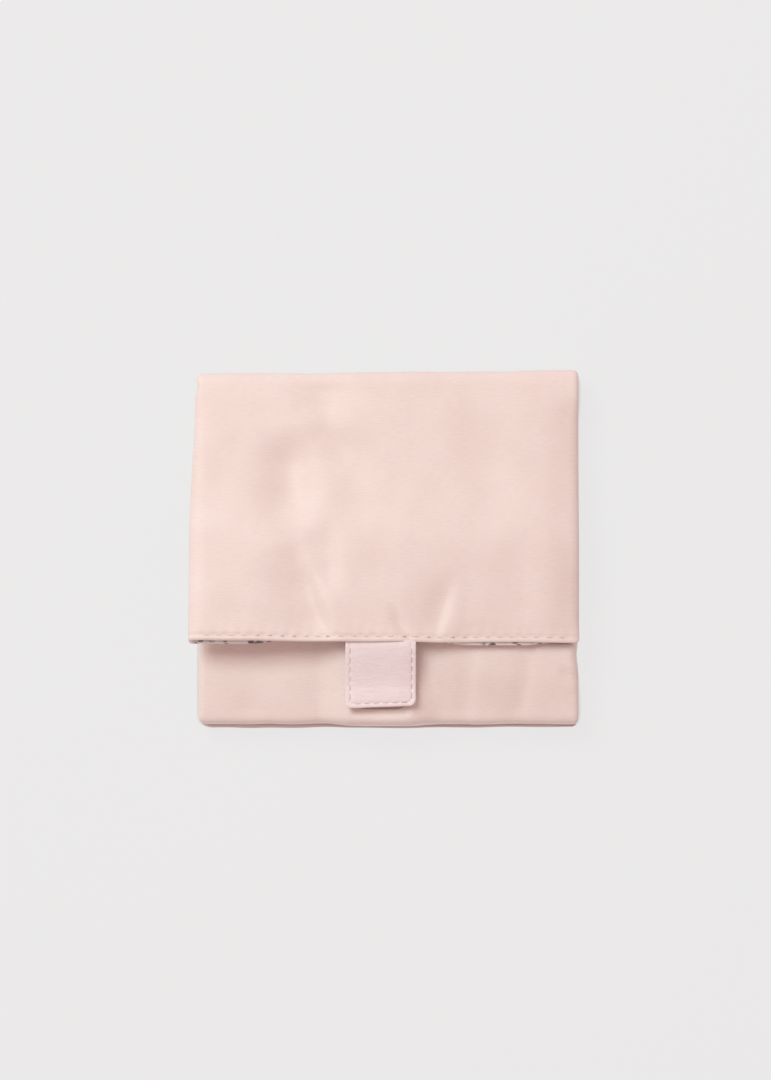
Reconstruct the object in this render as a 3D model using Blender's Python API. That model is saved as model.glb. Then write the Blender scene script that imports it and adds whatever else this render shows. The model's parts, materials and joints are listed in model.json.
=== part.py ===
"""Travel changing pad, folded into a small clutch and held shut by a stitched tab.

The padded mat is first folded in three across its width, like a letter, which gives a narrow
three-ply strip.  The strip is then folded twice across its length: a short front row turns up
over the back row, and the flap row turns down over both.  The tab on the flap's hem grips a
loop patch on the front row.  Each row is one rigid body, and each fold is a hinge along X.

The pad lies on its back.  X runs along its width, Y from the bottom fold to the top fold, and
Z through its thickness.  The origin is at the middle of its footprint, on the surface below.
"""

import math

import bpy
from mathutils import Matrix, Vector

# ---------------------------------------------------------------- driving dimensions, in metres
WIDTH = 0.180              # of the folded pad, at its flap
FOLDED_HEIGHT = 0.164      # from the bottom fold's outside to the top fold's outside
FLAP_DROP = 0.1245         # from the top fold's outside to the flap's hem, seen from above
BODY_NARROWER = 0.0037     # how far the left fold of the back and front rows is inside the flap's
FRONT_LENGTH = 0.068       # of the front row, from its hinge to its hem
GAP = 0.0003               # between touching pieces

SHELL = 0.0006             # thickness of the satin outer fabric
WADDING = 0.0014           # thickness of the quilt wadding
LINING = 0.0004            # thickness of the wipe-clean lining
PLIES = 3                  # the strip is folded like a letter
FOLD_STEPS = 8             # straight pieces round each of the strip's own folds

TAB_WIDTH = 0.0325
TAB_LENGTH = 0.0305
TAB_SKIN = 0.0008          # thickness of the tab's face and of its backing
TAB_FALL = 0.0200          # how much of its length the tab takes to come down to the patches
PATCH_WIDTH = 0.0210       # of the hook patch and the loop patch
PATCH_LENGTH = 0.0085
PATCH_CORNER = 0.0015
PATCH_THICKNESS = 0.0009

THREAD_RADIUS = 0.00022
HEM_INSET = 0.0026         # from a hem's edge to its thread
TAB_INSET = 0.0022         # from the tab's edge to its thread

# ---------------------------------------------------------------- what follows from them
PLY = SHELL + GAP + WADDING + GAP + LINING
STRIP = PLIES * PLY + (PLIES - 1) * GAP
HINGE_Z = STRIP + GAP / 2
FOLD_RADIUS = HINGE_Z
HINGE_Y = FOLDED_HEIGHT / 2 - FOLD_RADIUS
FRONT_TIP_Y = -HINGE_Y + FRONT_LENGTH
FLAP_CLEARANCE = 0.0007    # over the front row's hem, where the flap rests
FLAP_TILT = math.atan((STRIP + GAP + FLAP_CLEARANCE) / (HINGE_Y - FRONT_TIP_Y))
HEM_Y = FOLDED_HEIGHT / 2 - FLAP_DROP
FLAP_LENGTH = (HINGE_Y - HEM_Y) / math.cos(FLAP_TILT)

HEM_RISE = math.sin(FLAP_TILT)
TAB_HINGE_Y = HINGE_Y - (FLAP_LENGTH + 2 * GAP) * math.cos(FLAP_TILT) - STRIP * HEM_RISE / 2
TAB_HINGE_Z = HINGE_Z + (FLAP_LENGTH + 2 * GAP) * HEM_RISE + (STRIP - 2 * TAB_SKIN)
TAB_X = -0.0017            # the tab's middle, a little left of the flap's

BODY_LEFT = -WIDTH / 2 + BODY_NARROWER
RIGHT = WIDTH / 2


# ---------------------------------------------------------------- Blender helpers
def clear_scene():
    """Remove whatever the open file holds."""
    for obj in list(bpy.data.objects):
        bpy.data.objects.remove(obj, do_unlink=True)


def new_collection(name):
    collection = bpy.data.collections.new(name)
    bpy.context.scene.collection.children.link(collection)
    return collection


def new_material(name, colour, roughness, metallic=0.0):
    material = bpy.data.materials.new(name)
    material.use_nodes = True
    shader = material.node_tree.nodes["Principled BSDF"]
    shader.inputs["Base Color"].default_value = (*colour, 1.0)
    shader.inputs["Roughness"].default_value = roughness
    shader.inputs["Metallic"].default_value = metallic
    return material


def add_object(name, data, parent, material, collection):
    """An object of its own, placed in its parent's frame."""
    obj = bpy.data.objects.new(name, data)
    collection.objects.link(obj)
    obj.parent = parent
    if not data.materials:
        data.materials.append(material)
    return obj


def flat_outline(name, points, thickness):
    """A closed outline in the curve's XY plane, given a thickness along its Z."""
    curve = bpy.data.curves.new(name, "CURVE")
    curve.dimensions = "2D"
    curve.fill_mode = "BOTH"
    curve.extrude = thickness / 2
    spline = curve.splines.new("POLY")
    spline.points.add(len(points) - 1)
    for point, (x, y) in zip(spline.points, points):
        point.co = (x, y, 0.0, 1.0)
    spline.use_cyclic_u = True
    return curve


def arc(centre, radius, start, end, steps):
    """Points on an arc, with both ends; the angles are in degrees."""
    points = []
    for i in range(steps + 1):
        angle = math.radians(start + (end - start) * i / steps)
        points.append((centre[0] + radius * math.cos(angle), centre[1] + radius * math.sin(angle)))
    return points


def hinge_empty(name, y, tilt, collection):
    """An empty on a hinge's axis, whose X lies along that axis."""
    empty = bpy.data.objects.new(name, None)
    empty.empty_display_size = 0.02
    empty.location = (0.0, y, HINGE_Z)
    empty.rotation_euler = (tilt, 0.0, 0.0)
    collection.objects.link(empty)
    return empty


# ---------------------------------------------------------------- the strip's letter fold
def letter_fold_path(left, right, depth):
    """The line that a layer follows through the strip, seen from its end, as (x, z) points.

    The middle ply lies at the bottom, its shell facing down at z = 0.  The left third turns
    up round the left fold and lies on it, and the right third turns over both.  depth is how
    far the layer's own middle lies from the shell's outer face.
    """
    inner_radius = (2 * PLY + GAP) / 2 - depth
    outer_radius = (3 * PLY + 2 * GAP) / 2 - depth
    left_centre = (left + PLY + GAP / 2, PLY + GAP / 2)
    right_centre = (right - STRIP / 2, STRIP / 2)
    tucked_end = right - STRIP - GAP
    path = [(left + PLY, STRIP - depth)]
    path += arc(right_centre, outer_radius, 90, -90, FOLD_STEPS)
    path += arc(left_centre, inner_radius, 270, 90, FOLD_STEPS)
    path += [(tucked_end, 2 * PLY + GAP - depth)]
    return path


def thicken(path, thickness):
    """The closed outline of a path given a thickness, mitred at its corners."""
    one_side = []
    other_side = []
    for i, point in enumerate(path):
        here = Vector(point)
        before = Vector(path[max(i - 1, 0)])
        after = Vector(path[min(i + 1, len(path) - 1)])
        arrive = (here - before).normalized() if i > 0 else (after - here).normalized()
        leave = (after - here).normalized() if i < len(path) - 1 else arrive
        along = (arrive + leave).normalized()
        normal = Vector((-along.y, along.x))
        reach = thickness / 2 / max(along.dot(arrive), 0.5)
        one_side.append(tuple(here + reach * normal))
        other_side.append(tuple(here - reach * normal))
    return one_side + other_side[::-1]


def folded_layer(name, left, depth, thickness, length):
    """One layer of a row: the letter-folded sheet, as long as the row.

    The outline is drawn in the curve's own XY plane and stood up, so that the object's
    rotation turns its Y to Z and its thickness to the row's length.
    """
    outline = thicken(letter_fold_path(left, RIGHT, depth), thickness)
    return flat_outline(name, outline, length)


STAND_UP = (math.radians(90), 0.0, 0.0)

LAYERS = (
    ("shell", SHELL / 2, SHELL),
    ("wadding", SHELL + GAP + WADDING / 2, WADDING),
    ("lining", SHELL + GAP + WADDING + GAP + LINING / 2, LINING),
)


def make_row(row, left, start, end, height, turned, parent, materials, collection):
    """A row's three layers, from start to end along the parent's Y, its base at height.

    A turned row lies with its outer face up, as a row does after it is folded over.
    """
    for layer, depth, thickness in LAYERS:
        name = f"{row}_{layer}"
        obj = add_object(name, folded_layer(name, left, depth, thickness, abs(end - start)),
                         parent, materials[layer], collection)
        obj.rotation_euler = STAND_UP
        obj.location = (0.0, (start + end) / 2, height)
        if turned:
            obj.scale = (1.0, -1.0, 1.0)
            obj.location.z = height + STRIP


# ---------------------------------------------------------------- the two turned-over folds
def sector(name, inner, outer, turn, length):
    """Part of a tube, or of a rod where inner is 0, that runs from below through turn degrees."""
    start = -90
    points = arc((0.0, 0.0), outer, start, start + turn, 2 * FOLD_STEPS)
    if inner:
        points += arc((0.0, 0.0), inner, start + turn, start, 2 * FOLD_STEPS)
    else:
        points.append((0.0, 0.0))
    return flat_outline(name, points, length)


def make_fold(fold, sign, turn, materials, collection):
    """The plies where the strip turns over: the shell outside, the wadding gathered inside.

    sign is +1 at the top fold and -1 at the bottom one.
    """
    length = RIGHT - BODY_LEFT
    shell_inner = FOLD_RADIUS - SHELL
    pieces = (
        ("shell", shell_inner, FOLD_RADIUS),
        ("wadding", 0.0, shell_inner - GAP),
    )
    for layer, inner, outer in pieces:
        name = f"{fold}_fold_{layer}"
        obj = add_object(name, sector(name, inner, outer, turn, length), None,
                         materials[layer], collection)
        across = Matrix(((0, 0, 1), (sign, 0, 0), (0, 1, 0))).to_4x4()
        middle = Vector(((BODY_LEFT + RIGHT) / 2, sign * (HINGE_Y + GAP), HINGE_Z))
        obj.matrix_world = Matrix.Translation(middle) @ across


# ---------------------------------------------------------------- the tab and its patches
def patch_outline():
    """A small oblong with rounded corners, centred on its own origin."""
    half_x = PATCH_WIDTH / 2 - PATCH_CORNER
    half_y = PATCH_LENGTH / 2 - PATCH_CORNER
    points = []
    for sx, sy, start in ((1, 1, 0), (-1, 1, 90), (-1, -1, 180), (1, -1, 270)):
        points += arc((sx * half_x, sy * half_y), PATCH_CORNER, start, start + 90, 2)
    return points


def tab_height(distance, root, flat):
    """How high the tab's middle line is at a distance from its root: an easy S to the flat end."""
    share = min(distance / TAB_FALL, 1.0)
    return root + (flat - root) * (1 - math.cos(math.pi * share)) / 2


def tab_path(root, flat):
    """The tab's middle line seen from the side, as (distance from the root, height) points."""
    steps = 10
    path = [(TAB_FALL * i / steps, tab_height(TAB_FALL * i / steps, root, flat))
            for i in range(steps + 1)]
    return path + [(TAB_LENGTH, flat)]


def offset_path(path, offset):
    """A path moved sideways by an offset, away from the side that it lies on."""
    side = thicken(path, 2 * abs(offset))
    count = len(path)
    return side[:count] if offset > 0 else side[:count - 1:-1]


def make_tab_skin(name, path, offset, hinge, material, collection):
    """One of the tab's two skins, drawn from the side and stood up across the pad."""
    outline = thicken(offset_path(path, offset), TAB_SKIN)
    obj = add_object(name, flat_outline(name, outline, TAB_WIDTH), hinge, material, collection)
    across = Matrix(((0, 0, 1), (-1, 0, 0), (0, 1, 0))).to_4x4()
    obj.matrix_local = Matrix.Translation((TAB_X, 0.0, 0.0)) @ across
    return obj


# ---------------------------------------------------------------- threads
def thread_curve(name, points):
    """A seam's thread as one thin round line through its points."""
    curve = bpy.data.curves.new(name, "CURVE")
    curve.dimensions = "3D"
    curve.bevel_depth = THREAD_RADIUS
    curve.bevel_resolution = 1
    curve.use_fill_caps = True
    spline = curve.splines.new("POLY")
    spline.points.add(len(points) - 1)
    for point, place in zip(spline.points, points):
        point.co = (*place, 1.0)
    return curve


def hem_line(left, hem_y, side):
    """The line of a row's hem thread on its outer face, in the frame of the row's hinge."""
    on_face = GAP / 2 + STRIP + GAP + THREAD_RADIUS
    y = hem_y - side * HEM_INSET
    return [(left + STRIP / 2, y, on_face), (RIGHT - STRIP / 2, y, on_face)]


def tab_line(path):
    """The tab thread's line down one side, across the end and up the other, over the tab's face."""
    half = TAB_WIDTH / 2 - TAB_INSET
    rise = TAB_SKIN + 1.5 * GAP + THREAD_RADIUS
    face = offset_path(path, rise)
    end = (TAB_LENGTH - TAB_INSET, face[-1][1])
    down = face[1:-1] + [end]
    left_side = [(TAB_X - half, -distance, height) for distance, height in down]
    right_side = [(TAB_X + half, -distance, height) for distance, height in reversed(down)]
    return left_side + right_side


# ---------------------------------------------------------------- the assembly
def make_rows(hinges, fabrics, pad):
    make_row("back", BODY_LEFT, -HINGE_Y + GAP, HINGE_Y - GAP, 0.0, False, None, fabrics, pad)
    make_row("front", BODY_LEFT, GAP, FRONT_LENGTH, GAP / 2, True, hinges["front"], fabrics, pad)
    make_row("flap", -WIDTH / 2, -FLAP_LENGTH, -GAP, GAP / 2, True, hinges["flap"], fabrics, pad)


def make_tab(hinges, materials, pad):
    """The tab's two skins, its hook patch, its stitches and the loop patch that it grips."""
    front_face = HINGE_Z + GAP / 2 + STRIP
    flat = front_face + 2 * (GAP + PATCH_THICKNESS) + GAP + TAB_SKIN + GAP / 2 - TAB_HINGE_Z
    path = tab_path(0.0, flat)
    skin_offset = (TAB_SKIN + GAP) / 2
    make_tab_skin("tab_face", path, skin_offset, hinges["tab"], materials["tab"], pad)
    make_tab_skin("tab_backing", path, -skin_offset, hinges["tab"], materials["tab"], pad)

    patch_distance = TAB_FALL + PATCH_LENGTH / 2 + GAP
    hook = add_object("hook_patch", flat_outline("hook_patch", patch_outline(), PATCH_THICKNESS),
                      hinges["tab"], materials["hook"], pad)
    below_tab = flat - GAP / 2 - TAB_SKIN - GAP - PATCH_THICKNESS / 2
    hook.location = (TAB_X, -patch_distance, below_tab)
    loop = add_object("loop_patch", flat_outline("loop_patch", patch_outline(), PATCH_THICKNESS),
                      hinges["front"], materials["hook"], pad)
    loop.location = (TAB_X, TAB_HINGE_Y - patch_distance + HINGE_Y,
                     front_face + GAP + PATCH_THICKNESS / 2 - HINGE_Z)

    add_object("tab_thread", thread_curve("tab_thread", tab_line(path)), hinges["tab"],
               materials["thread"], pad)


def build():
    clear_scene()
    pad = new_collection("changing_pad")
    materials = {
        "shell": new_material("shell_satin", (0.80, 0.62, 0.56), 0.42),
        "wadding": new_material("wadding_white", (0.86, 0.86, 0.84), 0.95),
        "lining": new_material("lining_print", (0.80, 0.81, 0.80), 0.55),
        "tab": new_material("tab_leather", (0.78, 0.64, 0.62), 0.50),
        "thread": new_material("thread_pink", (0.84, 0.68, 0.63), 0.60),
        "hook": new_material("hook_and_loop", (0.82, 0.70, 0.66), 0.90),
    }
    hinges = {
        "flap": hinge_empty("flap_hinge", HINGE_Y, -FLAP_TILT, pad),
        "front": hinge_empty("front_hinge", -HINGE_Y, 0.0, pad),
    }
    hinges["tab"] = hinge_empty("tab_hinge", TAB_HINGE_Y, 0.0, pad)
    hinges["tab"].location.z = TAB_HINGE_Z

    make_rows(hinges, materials, pad)
    make_fold("top", 1, 180 - math.degrees(FLAP_TILT), materials, pad)
    make_fold("bottom", -1, 180, materials, pad)
    make_tab(hinges, materials, pad)
    hems = (
        ("flap", -WIDTH / 2, -FLAP_LENGTH, -1),
        ("front", BODY_LEFT, FRONT_LENGTH, 1),
    )
    for row, left, hem_y, side in hems:
        name = f"{row}_hem_thread"
        line = hem_line(left, hem_y, side)
        add_object(name, thread_curve(name, line), hinges[row], materials["thread"], pad)


build()
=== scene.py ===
import json
import math

import bpy
import numpy as np
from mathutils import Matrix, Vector, noise


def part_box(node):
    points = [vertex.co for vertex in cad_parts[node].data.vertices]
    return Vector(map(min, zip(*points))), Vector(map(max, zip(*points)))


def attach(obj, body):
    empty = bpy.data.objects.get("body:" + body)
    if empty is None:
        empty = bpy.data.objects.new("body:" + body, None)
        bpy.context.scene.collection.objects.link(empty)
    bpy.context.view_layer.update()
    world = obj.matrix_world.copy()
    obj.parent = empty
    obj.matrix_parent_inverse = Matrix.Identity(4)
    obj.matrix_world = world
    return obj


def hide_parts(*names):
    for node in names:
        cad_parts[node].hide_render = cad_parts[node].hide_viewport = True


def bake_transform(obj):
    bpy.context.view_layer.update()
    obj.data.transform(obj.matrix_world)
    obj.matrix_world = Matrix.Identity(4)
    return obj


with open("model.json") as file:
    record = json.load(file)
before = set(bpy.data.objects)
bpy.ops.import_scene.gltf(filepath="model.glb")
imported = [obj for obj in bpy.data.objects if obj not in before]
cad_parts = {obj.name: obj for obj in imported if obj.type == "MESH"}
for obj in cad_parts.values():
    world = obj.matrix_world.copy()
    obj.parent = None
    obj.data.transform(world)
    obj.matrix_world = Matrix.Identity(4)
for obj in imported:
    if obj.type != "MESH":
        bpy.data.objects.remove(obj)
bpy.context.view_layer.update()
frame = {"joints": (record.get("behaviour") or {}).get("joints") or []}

# ------------------------------------------------------------------ sizes, taken from the frame
MM = 0.001
joints = {joint["name"]: joint for joint in frame["joints"]}
HINGE_Y = joints["flap_fold"]["pos_m"][1]
HINGE_Z = joints["flap_fold"]["pos_m"][2]
TAB_ROOT = Vector(joints["tab_lift"]["pos_m"])

back_low, back_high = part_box("back_shell")
flap_low, flap_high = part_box("flap_shell")
front_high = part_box("front_shell")[1]
tab_low, tab_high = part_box("tab_face")
backing_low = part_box("tab_backing")[0]

GAP = 0.3 * MM                       # between touching plies
STRIP = back_high.z - back_low.z     # three plies and the gaps between them
PLY = (STRIP - 2 * GAP) / 3
RADIUS = HINGE_Z                     # of the turned-over folds' outer face
RIGHT = back_high.x
BODY_LEFT = back_low.x
FLAP_LEFT = flap_low.x
FRONT_LENGTH = front_high.y + HINGE_Y


def tilt_of_flap():
    """The closed flap's slope, from how high its hem stands."""
    tilt = 0.0
    for _ in range(8):
        rise = flap_high.z - HINGE_Z - RADIUS * math.cos(tilt)
        tilt = math.atan2(rise, HINGE_Y - flap_low.y)
    return tilt


TILT = tilt_of_flap()
FLAP_LENGTH = (HINGE_Y - flap_low.y) / math.cos(TILT)


# ------------------------------------------------------------------ small maths helpers
def smooth(t):
    """0 up to 0, 1 from 1 on, and an easy curve between."""
    t = np.clip(t, 0.0, 1.0)
    return t * t * (3 - 2 * t)


def bump(t, width):
    """1 at 0, falling away over about the width on each side."""
    return np.exp(-(t / width) ** 2)


def edge_round(distance, reach):
    """How full a sewn edge is at a distance from it: 0 at the edge, 1 from reach on, round between."""
    t = np.clip(distance / reach, 0.0, 1.0)
    return np.sqrt(1 - (1 - t) ** 2)


def waves(x, y, scale, seed):
    """Smooth noise from about -1 to 1 over two arrays, with features of about the given size."""
    out = np.empty(x.shape)
    for index in np.ndindex(x.shape):
        spot = Vector((x[index] / scale, y[index] / scale, seed))
        out[index] = noise.noise(spot)
    return out


def valley(x, y, start, end, widths, depth):
    """A crease's depth at each point: deepest along the line from start to end, fading at its ends.

    Its left and right walls, seen along the line, have the two widths: the wider is the gentler.
    """
    ax, ay = start
    dx, dy = end[0] - ax, end[1] - ay
    length = math.hypot(dx, dy)
    along = ((x - ax) * dx + (y - ay) * dy) / length ** 2
    across = ((x - ax) * dy - (y - ay) * dx) / length
    ends = smooth((along + 0.30) / 0.65) * smooth((1.30 - along) / 0.65)
    return depth * bump(across, np.where(across < 0, widths[0], widths[1])) * ends


# ------------------------------------------------------------------ the strip, folded like a letter
def letter_fold():
    """The middle line of the strip's cloth seen from its end, for a strip FLAP_LEFT to RIGHT.

    Returns x, depth below the outer face, and the unit normal towards the satin side.
    """
    outer = STRIP / 2 - PLY / 2
    inner = PLY / 2 + GAP / 2
    right_middle = RIGHT - STRIP / 2
    left_middle = FLAP_LEFT + PLY + GAP / 2
    top = STRIP - PLY / 2
    tucked = 2 * PLY + GAP - PLY / 2

    def run(x0, x1, depth, count):
        return [(x, depth) for x in np.linspace(x0, x1, count)]

    def turn(centre, radius, start, end, count):
        angles = np.radians(np.linspace(start, end, count))
        return [(centre[0] + radius * math.cos(a), centre[1] + radius * math.sin(a)) for a in angles]

    points = run(FLAP_LEFT + PLY, right_middle, top, 24)[:-1]
    points += turn((right_middle, STRIP / 2), outer, 90, -90, 19)[:-1]
    points += run(right_middle, left_middle, PLY / 2, 176)[:-1]
    points += turn((left_middle, PLY + GAP / 2), inner, 270, 90, 13)[:-1]
    points += run(left_middle, RIGHT - STRIP - GAP, tucked, 24)
    line = np.array(points)
    ahead = np.gradient(line, axis=0)
    ahead /= np.linalg.norm(ahead, axis=1)[:, None]
    normal = np.stack([-ahead[:, 1], ahead[:, 0]], axis=1)
    walked = np.concatenate([[0], np.cumsum(np.linalg.norm(np.diff(line, axis=0), axis=1))])
    return line[:, 0], line[:, 1], normal, walked


PATH_X, PATH_DEPTH, PATH_NORMAL, PATH_WALK = letter_fold()
EDGE_REACH = 1.6 * MM                # over which the cloth's sewn edges are rounded


# ------------------------------------------------------------------ stations along the strip
TOP_LEFT = FLAP_LEFT + 2.3 * MM      # the flap starts narrower at the top fold
HEM_INSET = 2.4 * MM                 # from a hem to its stitches
HEM_PITCH = 5.6 * MM                 # from one hem stitch to the next
FAR = 1.0                            # the distance to a hem where there is none
BOTTOM_POWER = 4.4                   # how squarely each fold is pressed: 2 is a plain half circle
TOP_POWER = 3.6
BOTTOM_COUNT = 61                    # of stations round each fold, and along the back row
TOP_COUNT = 31
BACK_COUNT = 74
FRONT_GRADE = (1.5 * MM, 0.6 * MM, 5 * MM)   # steps, finer steps and how near the hem those are
FLAP_GRADE = (1.3 * MM, 0.45 * MM, 7 * MM)


class Station:
    """One cross-section of the strip: where its outer face lies and which way is in and along."""

    def __init__(self, region, origin, inward, along, left, from_hem):
        self.region = region
        self.origin = np.array(origin)
        self.inward = np.array(inward)
        self.along = np.array(along)
        self.left = left
        self.from_hem = from_hem


def graded(length, coarse, fine, fine_reach):
    """Distances from 0 to length: coarse steps, then fine ones over the last fine_reach."""
    middle = length - fine_reach
    first = np.linspace(0, middle, max(int(middle / coarse), 2) + 1)[:-1]
    last = np.linspace(middle, length, int(fine_reach / fine) + 1)
    return np.concatenate([first, last])


def fold_bulge(turn, power):
    """A fold's outer radius at a turn: constant at power 2, and greater in the corners above it."""
    grow = (abs(math.sin(turn)) ** power + abs(math.cos(turn)) ** power) ** (-1 / power)
    return RADIUS * grow


def make_stations():
    """Every cross-section, from the front row's hem round both folds to the flap's hem."""
    stations = []
    for run in graded(FRONT_LENGTH, *FRONT_GRADE)[::-1]:
        stations.append(Station("front", (-HINGE_Y + run, 2 * RADIUS), (0, -1), (1, 0),
                                BODY_LEFT, FRONT_LENGTH - run))
    for turn in np.linspace(math.pi, 0, BOTTOM_COUNT)[1:-1]:
        sin, cos = math.sin(turn), math.cos(turn)
        out = fold_bulge(turn, BOTTOM_POWER)
        stations.append(Station("bottom_fold", (-HINGE_Y - out * sin, RADIUS - out * cos),
                                (sin, cos), (-cos, sin), BODY_LEFT, FAR))
    for y in np.linspace(-HINGE_Y, HINGE_Y, BACK_COUNT):
        stations.append(Station("back", (y, 0.0), (0, 1), (-1, 0), BODY_LEFT, FAR))
    for turn in np.linspace(0, math.pi - TILT, TOP_COUNT)[1:-1]:
        sin, cos = math.sin(turn), math.cos(turn)
        out = fold_bulge(turn * math.pi / (math.pi - TILT), TOP_POWER)
        left = BODY_LEFT + (TOP_LEFT - BODY_LEFT) * turn / math.pi
        stations.append(Station("top_fold", (HINGE_Y + out * sin, RADIUS - out * cos),
                                (-sin, cos), (cos, sin), left, FAR))
    sin, cos = math.sin(TILT), math.cos(TILT)
    for run in graded(FLAP_LENGTH, *FLAP_GRADE):
        left = TOP_LEFT + (FLAP_LEFT - TOP_LEFT) * float(smooth(run / FLAP_LENGTH * 1.8))
        origin = (HINGE_Y - run * cos + RADIUS * sin, HINGE_Z + run * sin + RADIUS * cos)
        stations.append(Station("flap", origin, (-sin, -cos), (-cos, sin), left, FLAP_LENGTH - run))
    return stations


STATIONS = make_stations()


# ------------------------------------------------------------------ how the quilt sags and creases
# the quilt's own unevenness: depth, size and seed of its waves
SAGS = ((0.55 * MM, 36 * MM, 3.1), (0.25 * MM, 15 * MM, 7.7))
# how far the flap's hem has sunk towards the row under it, along X, in millimetres
HEM_DROPS = ((-90, -1.6), (-60, -1.2), (-20, 2.6), (8, 3.4), (38, 7.8), (90, 8.4))
PATCH_RAISE = 1.5 * MM               # of the padding that fills out under the tab
SEAT_PUFF = 1.1 * MM                 # of the padding round the tape, which it holds down
TAB_SEAT = Vector((TAB_ROOT.x - 1.7 * MM, TAB_ROOT.y - 24.5 * MM, 0))


def under_tab(x, y):
    """1 where the tab covers the front row, fading to 0 around it."""
    across = smooth((30 * MM - np.abs(x - TAB_SEAT.x)) / (18 * MM))
    along = smooth((17 * MM + np.minimum(y - TAB_SEAT.y, 0)) / (9 * MM))
    return across * along * smooth((-33 * MM - y) / (12 * MM))


def seat_of_tab(x, y):
    """How far the front row swells under the tab, less where the tape holds it down."""
    held_x = smooth((14.5 * MM - np.abs(x - TAB_SEAT.x)) / (3 * MM))
    held_y = smooth((9 * MM - np.abs(y - TAB_SEAT.y)) / (3 * MM))
    return (PATCH_RAISE + SEAT_PUFF * (1 - held_x * held_y)) * under_tab(x, y)


# each crease: start, end, the width of its east and west wall, and depth, all in millimetres
FLAP_CREASES = (
    ((-27, 80), (-29, 62), (11.0, 12.0), 1.7),
    ((-30, 60), (-17, 44), (5.0, 9.0), 1.1),
    ((-44, 50), (-43, 18), (10.0, 11.0), 4.5),
    ((-44, 14), (-38, -4), (8.0, 9.0), 1.0),
    ((-27, 10), (-26, -16), (6.0, 9.0), 1.9),
    ((-41, -4), (-27, -40), (4.2, 16.0), 4.4),
    ((-74, -24), (-46, -38), (7.0, 7.0), 1.0),
    ((4.5, -27), (12.5, -42), (1.8, 3.4), 1.6),
    ((30, -14), (22, -41), (3.6, 7.0), 1.7),
    ((-13, 48), (-11, 10), (8.0, 10.0), 1.2),
    ((44, 62), (54, 28), (12.0, 12.0), 0.9),
    ((62, 2), (63, -34), (7.0, 10.0), 0.9),
)
FRONT_CREASES = (
    ((40, -44), (37, -80), (4.0, 7.0), 0.9),
    ((68, -44), (62, -78), (4.0, 6.0), 0.9),
    ((19, -50), (23, -66), (2.0, 3.5), 0.6),
    ((-66, -70), (-50, -84), (6.0, 6.0), 0.6),
    ((-32, -62), (-24, -82), (5.0, 7.0), 0.6),
    ((82, -55), (90, -60), (2.0, 3.0), 0.8),
)


def creases(x, y, rows):
    """The depth that a table of creases adds up to at each point."""
    total = np.zeros(x.shape)
    for start, end, widths, depth in rows:
        line = [(a * MM, b * MM) for a, b in (start, end)]
        total += valley(x, y, line[0], line[1], (widths[0] * MM, widths[1] * MM), depth * MM)
    return total


SEAM_SINK = 0.42 * MM                # of the satin all along a row of stitches
STITCH_SINK = 0.34 * MM              # at each stitch
GATHER_SINK = 0.40 * MM              # of the folds that run up from the stitches


def hem_puckers(x, from_hem, pitch):
    """The small gathers that a hem's stitches pull, as a depth: no two quite alike."""
    wander = 1.1 * waves(x, x * 0, 17 * MM, 6.1)
    pull = 0.75 + 0.5 * waves(x, x * 0, 11 * MM, 8.3)
    phase = 0.5 + 0.5 * np.cos(2 * math.pi * (x - 0.25 * from_hem) / pitch + wander)
    row = SEAM_SINK * bump(from_hem - HEM_INSET, 1.0 * MM)
    stitch = STITCH_SINK * phase ** 2 * bump(from_hem - HEM_INSET, 0.9 * MM)
    above = smooth((from_hem - HEM_INSET) / (1 * MM)) * np.exp(-(from_hem - HEM_INSET) / (2.8 * MM))
    return row + pull * (stitch + GATHER_SINK * phase * above)


THINNER_AT_FOLD = 2.2 * MM           # how much the front row thins towards the bottom fold
THINNER_AT_LEFT = 1.6 * MM           # and on the left, under the flap's raised hem
RIGHT_ROUNDING = 2.4 * MM            # how far the flap's sides round down
LEFT_ROUNDING = 1.4 * MM


def front_slopes(x, y):
    """The front row thins towards the bottom fold, and on the left under the flap's raised hem."""
    to_fold = THINNER_AT_FOLD * smooth((-y - 56 * MM) / (28 * MM)) * (1 - under_tab(x, y))
    under_hem = THINNER_AT_LEFT * smooth((-14 * MM - x) / (16 * MM)) * smooth((y + 76 * MM) / (24 * MM))
    return to_fold, under_hem


def flap_sides(x, run):
    """The flap rounds down to its right and left sides, once clear of the top fold."""
    clear = float(smooth(run / (12 * MM)))
    right = RIGHT_ROUNDING * clear * smooth((x - RIGHT + 20 * MM) / (22 * MM)) ** 1.6
    left = LEFT_ROUNDING * clear * smooth((FLAP_LEFT + 10 * MM - x) / (10 * MM)) ** 2
    return right, left


def relief(station, x, depth):
    """How far the cloth sinks below its plain shape at each point, towards the inside."""
    if station.region == "back":
        return np.zeros(x.shape)
    y = np.full(x.shape, station.origin[0])
    round_fold = y + station.origin[1]
    sunk = sum(amount * waves(x, round_fold, size, seed) for amount, size, seed in SAGS)
    if station.region in ("front", "bottom_fold"):
        sunk += creases(x, y, FRONT_CREASES) - seat_of_tab(x, y) - swell(x, y)
        for slope in front_slopes(x, y):
            sunk += slope
    else:
        sunk += creases(x, y, FLAP_CREASES)
        run = FLAP_LENGTH - station.from_hem if station.region == "flap" else 0.0
        for side in flap_sides(x, run):
            sunk += side
    sunk += hem_puckers(x, station.from_hem, HEM_PITCH)
    height = np.clip(station.origin[1] / (2 * RADIUS), 0, 1)
    return sunk * smooth(height * 1.2) * (1 - 0.8 * np.clip(depth / STRIP, 0, 1))


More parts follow.
